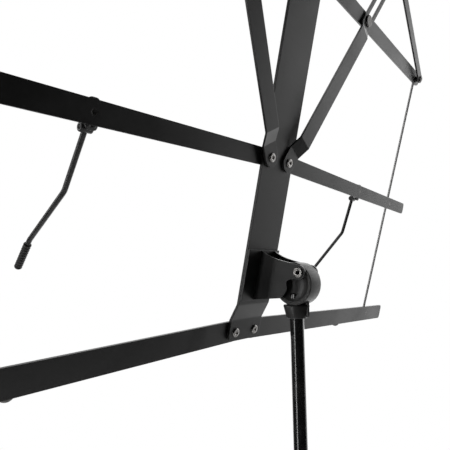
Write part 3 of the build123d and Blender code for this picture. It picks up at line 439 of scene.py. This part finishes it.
def make_sleeve(side):
    """Soft sleeve on a page holder's tip: a tube with rounded ends and shallow grip rings.

    Radius along it = body radius + ring depth * cos(rings * 2 pi * t), with quarter circles at the ends.
    """
    node = f"{side}_holder_sleeve"
    points = node_points(node)
    middle = points.mean(0)
    axis = np.linalg.svd(points - middle, full_matrices=False)[2][0]
    away = middle - joint_place(f"{side}_holder_swing")
    axis = axis if axis @ away > 0 else -axis
    height = (points - middle) @ axis
    radius = np.linalg.norm(points - middle - np.outer(height, axis), axis=1).max()
    low, high = height.min(), height.max()
    soft, depth, rings = radius * 0.7, 0.12 * MM, 9
    along = np.linspace(low + soft * 0.4, high - soft, 70)
    share = (along - along[0]) / (along[-1] - along[0])
    wall = radius - depth + depth * np.cos(rings * 2 * math.pi * share)
    tip = arc((radius - soft, high - soft), soft, 8, 90, 9)
    base = arc((radius - soft * 0.4, low + soft * 0.4), soft * 0.4, -90, -8, 5)
    bore = 1.35 * MM
    loop = np.vstack([base, np.column_stack([wall, along]), tip, [(1e-6, high)], [(1e-6, high - 1.2 * MM)],
                      [(bore, high - 1.3 * MM)], [(bore, low)]])
    made = turned(middle, axis, loop, 40)
    add_piece(f"{side}_grip_sleeve", *made, f"{side}_holder", RUBBER, "black_rubber", [node])


HUB_RADIUS = 13.7 * MM
HUB_HALF = 6.3 * MM
HUB_RIM = 1.9 * MM
HUB_BACK = 1.2 * MM
CUP_DEPTH = 3.2 * MM
COLLAR_LOW, COLLAR_TOP = 6.6 * MM, 8.4 * MM
COLLAR_BELOW, COLLAR_ABOVE = 22.0 * MM, 13.4 * MM


def make_hub():
    """Tilt hub: a wheel with a bowl each side, a pivot boss, a neck, a tapered collar and a fin.

    Bowl: depth below the rim = cup depth * (1 - (r / rim radius)^3). Fin: a round bar with its x flattened.
    """
    swivel = joint_place("desk_swivel")
    centre = swivel + [0.0, HUB_BACK, 0.0]
    radius = np.linspace(1e-6, HUB_RADIUS - HUB_RIM, 20)
    bowl = np.column_stack([radius, HUB_HALF - 0.3 * MM - CUP_DEPTH * (1 - (radius / radius[-1]) ** 3)])
    soft = 0.5 * MM
    lip = arc((HUB_RADIUS - HUB_RIM + soft, HUB_HALF - soft), soft, 165, 90, 5)
    rim = arc((HUB_RADIUS - soft, HUB_HALF - soft), soft, 90, 0, 6)
    face = np.vstack([bowl, lip, rim])
    wheel = turned(centre, DESK_RIGHT, np.vstack([face, face[::-1] * [1, -1]]), 96)
    boss_radius, boss_half = 4.0 * MM, HUB_HALF - 0.2 * MM
    boss_face = np.vstack([[(1e-6, boss_half)], arc((boss_radius - soft, boss_half - soft), soft, 90, 0, 6)])
    boss = turned(joint_place("desk_tilt"), DESK_RIGHT, np.vstack([boss_face, boss_face[::-1] * [1, -1]]), 40)
    shoulder, neck_round = 1.0 * MM, 1.5 * MM
    dome = arc((COLLAR_TOP - shoulder, -COLLAR_ABOVE - shoulder), shoulder, 0, 88, 8)
    neck_top = arc((HUB_HALF - 0.2 * MM - neck_round, -COLLAR_ABOVE + 0.9 * MM), neck_round, 0, 88, 8)
    neck_low = -COLLAR_ABOVE - 2.0 * MM
    neck_foot = [(1e-6, neck_low), (HUB_HALF - 0.2 * MM, neck_low)]
    neck = turned(swivel, (0, 0, 1), np.vstack([neck_foot, neck_top, [(1e-6, neck_top[-1][1])]]), 56)
    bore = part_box("upper_rod")[1].x + 0.05 * MM
    hollow = -COLLAR_BELOW + 4.0 * MM
    collar_foot = arc((COLLAR_LOW - soft, -COLLAR_BELOW + soft), soft, -90, -10, 5)
    inside = [(1e-6, dome[-1][1]), (1e-6, hollow), (bore, hollow)]
    outline = np.vstack([[(bore, -COLLAR_BELOW)], collar_foot, dome, inside])
    collar = turned(swivel, (0, 0, 1), outline, 72)
    fin_low, fin_high, fin_soft = -COLLAR_BELOW + 1.0 * MM, -COLLAR_BELOW + 12.0 * MM, 1.2 * MM
    fin_loop = np.vstack([[(1e-6, fin_low)], arc((0.4 * MM, fin_low + fin_soft), fin_soft, -90, 0, 5),
                          arc((0.4 * MM, fin_high - fin_soft), fin_soft, 0, 90, 5), [(1e-6, fin_high)]])
    fin_place = swivel + [0.0, COLLAR_TOP - 0.6 * MM, 0.0]
    fin_points, fin_faces = turned(fin_place, (0, 0, 1), fin_loop, 24)
    fin_points[:, 0] *= 0.4
    made = join([wheel, boss, collar, neck, (fin_points, fin_faces)])
    add_piece("cup_hub", *made, "hub", HUB_NYLON, "black_plastic", ["tilt_hub"])


STRAP_WIDE = 6.4 * MM
STRAP_RISE = 1.0 * MM
BARREL = 2.3 * MM


def make_strap(side):
    """Page holder strap: a thin plate on the bar's front, and a barrel that the wire turns in.

    Plate: |x / half width|^4 + |z / half height|^4 = 1 about its middle, with a chamfer round its front rim.
    """
    node = f"{side}_holder_strap"
    hinge = joint_place(f"{side}_holder_swing")
    along = unit(JOINTS[f"{side}_holder_swing"]["axis"])
    up = unit(np.cross(DESK_BACK, along))
    up = up if up @ DESK_UP > 0 else -up
    bar_points = (node_points(f"{side}_mid_bar") - hinge) @ up
    top, low = bar_points.max() + STRAP_RISE, -BARREL * 0.5
    plate = node_points(node) - hinge
    plate = plate[(plate @ up) > 4 * MM] @ DESK_BACK
    back, front = plate.max(), plate.max() - 1.2 * MM
    angle = np.linspace(0, 2 * math.pi, 64, endpoint=False)
    across = np.sign(np.cos(angle)) * np.abs(np.cos(angle)) ** 0.5 * STRAP_WIDE / 2
    height = np.sign(np.sin(angle)) * np.abs(np.sin(angle)) ** 0.5 * (top - low) / 2
    rows = []
    chamfer, centre_inset = 0.3 * MM, 3.1 * MM
    back_rings = (centre_inset, back), (0.0, back)
    front_rings = (0.0, front + chamfer), (chamfer, front), (centre_inset, front)
    for inset, depth in back_rings + front_rings:
        shrink = 1 - inset / (STRAP_WIDE / 2)
        tall = 1 - inset / ((top - low) / 2)
        ring = np.outer(across * shrink, along) + np.outer(height * tall + (top + low) / 2, up)
        rows.append(hinge + ring + depth * DESK_BACK)
    points = np.vstack(rows)
    faces = ring_faces(5, 64)
    outward = points[faces[64][0]] - points.mean(0)
    first, second, third = points[faces[64][:3]]
    side_normal = np.cross(second - first, third - second)
    faces = faces if side_normal @ outward > 0 else faces[:, ::-1]
    half, soft = STRAP_WIDE / 2, 0.6 * MM
    loop = np.vstack([[(0.6 * MM, -half)], arc((BARREL - soft, -half + soft), soft, -90, 0, 5),
                      arc((BARREL - soft, half - soft), soft, 0, 90, 5), [(0.6 * MM, half)]])
    made = join([(points, faces), turned(hinge, along, loop, 36)])
    add_piece(f"{side}_strap", *made, f"{side}_mid_bar", SATIN, "satin_black", [node])


make_desk_rivets()
make_tilt_rivet()
make_hub()
for side in SIDES:
    make_strap(side)
for side in SIDES:
    make_sleeve(side)


# ---------------------------------------------------------------- finishes of the frame's own nodes
def finish_of(node):
    """The finish that each kind of node gets."""
    kinds = (
        (("tilt_bracket",), FLANGE),
        (("tilt_hub",), HUB_NYLON),
        (("bracket_rivets", "slider_pins", "hub_rivets"), NICKEL),
        (("leg_1_rivet", "leg_2_rivet", "leg_3_rivet"), NICKEL),
        (("rivet", "pins", "_pin", "washers"), DARK_RIVET),
        (("outer_rod",), ROD_STEEL),
        (("wire",), WIRE),
        (("sleeve", "_tip"), RUBBER),
        (("clamp", "slider", "screw", "bottom_hub", "plug"), NYLON),
        (("tube", "upper_rod", "leg_", "brace_"), GLOSS),
    )
    for words, finish in kinds:
        if any(word in node for word in words):
            return finish
    return SATIN


for name, node in frame["nodes"].items():
    node.data.materials.clear()
    node.data.materials.append(finish_of(name))


# ---------------------------------------------------------------- floor, light and surroundings
FLOOR_RADIUS = 1.15
KEY_SIDE = unit((-1.0, -0.5, 0.1))         # the bright wall stands on the left wing's side


def make_floor():
    """A round pale floor: a flat disc, point = radius * (cos a, sin a)."""
    steps = 128
    angle = np.linspace(0, 2 * math.pi, steps, endpoint=False)
    rim = np.column_stack([np.cos(angle), np.sin(angle), np.zeros(steps)]) * FLOOR_RADIUS
    mesh = bpy.data.meshes.new("floor")
    mesh.from_pydata(rim.tolist(), [], [list(range(steps))])
    pale = Finish("pale floor")
    pale.drive("Base Color", pale.colours(pale.noise(3.0, 3.0), (0.3, grey(0.86)), (0.7, grey(0.90))))
    pale.drive("Roughness", pale.remap(pale.noise(40.0), 0.3, 0.7, 0.7, 0.85))
    pale.set(Emission_Color=(1.0, 1.0, 1.0, 1.0), Emission_Strength=0.06)
    mesh.materials.append(pale.material)
    floor = bpy.data.objects.new("floor", mesh)
    bpy.context.scene.collection.objects.link(floor)


def make_surroundings():
    """White all round to the eye; as a light, a bright wall that fades to a dark room."""
    world = bpy.data.worlds.new("studio")
    bpy.context.scene.world = world
    world.use_nodes = True
    tree = world.node_tree
    tree.nodes.clear()
    place = tree.nodes.new("ShaderNodeTexCoord")
    towards = tree.nodes.new("ShaderNodeVectorMath")
    towards.operation = "DOT_PRODUCT"
    towards.inputs[1].default_value = KEY_SIDE
    tree.links.new(place.outputs["Generated"], towards.inputs[0])
    ramp = tree.nodes.new("ShaderNodeValToRGB")
    share = tree.nodes.new("ShaderNodeMapRange")
    share.inputs["From Min"].default_value = -1.0
    tree.links.new(towards.outputs["Value"], share.inputs["Value"])
    tree.links.new(share.outputs["Result"], ramp.inputs["Fac"])
    stops = ((0.0, 0.006), (0.50, 0.006), (0.70, 0.02), (0.83, 0.62), (1.0, 1.0))
    while len(ramp.color_ramp.elements) < len(stops):
        ramp.color_ramp.elements.new(0.5)
    for element, (position, level) in zip(ramp.color_ramp.elements, stops):
        element.position = position
        element.color = (level, level, level, 1.0)
    light = tree.nodes.new("ShaderNodeBackground")
    light.inputs["Strength"].default_value = 1.9
    tree.links.new(ramp.outputs["Color"], light.inputs["Color"])
    seen = tree.nodes.new("ShaderNodeBackground")
    seen.inputs["Color"].default_value = (1.0, 1.0, 1.0, 1.0)
    path = tree.nodes.new("ShaderNodeLightPath")
    choose = tree.nodes.new("ShaderNodeMixShader")
    tree.links.new(path.outputs["Is Camera Ray"], choose.inputs["Fac"])
    tree.links.new(light.outputs[0], choose.inputs[1])
    tree.links.new(seen.outputs[0], choose.inputs[2])
    out = tree.nodes.new("ShaderNodeOutputWorld")
    tree.links.new(choose.outputs[0], out.inputs["Surface"])


def make_softbox(name, place, aim, size, power):
    """A soft rectangular light that looks from its place to the aim."""
    data = bpy.data.lights.new(name, "AREA")
    data.shape = "RECTANGLE"
    data.size, data.size_y = size
    data.energy = power
    light = bpy.data.objects.new(name, data)
    light.visible_camera = False
    light.location = place
    light.rotation_euler = (Vector(aim) - Vector(place)).to_track_quat("-Z", "Y").to_euler()
    bpy.context.scene.collection.objects.link(light)


make_floor()
make_surroundings()
AIM = tuple(DESK_CENTRE + DESK_UP * 0.08)
make_softbox("key", (-1.6, 0.5, 1.7), AIM, (1.2, 1.2), 3.0)
make_softbox("top", (-0.2, -0.3, 2.6), AIM, (1.4, 1.4), 9.0)
make_softbox("edge", (1.1, -1.3, 1.3), AIM, (0.5, 1.4), 6.0)
SHAFT = (0.0, 0.0, 0.85)
make_softbox("left strip", (1.37, -0.29, 0.85), SHAFT, (0.16, 1.5), 5.0)
make_softbox("right strip", (-1.06, 0.91, 0.85), SHAFT, (0.08, 1.5), 0.7)
bpy.context.scene.view_settings.view_transform = "Standard"
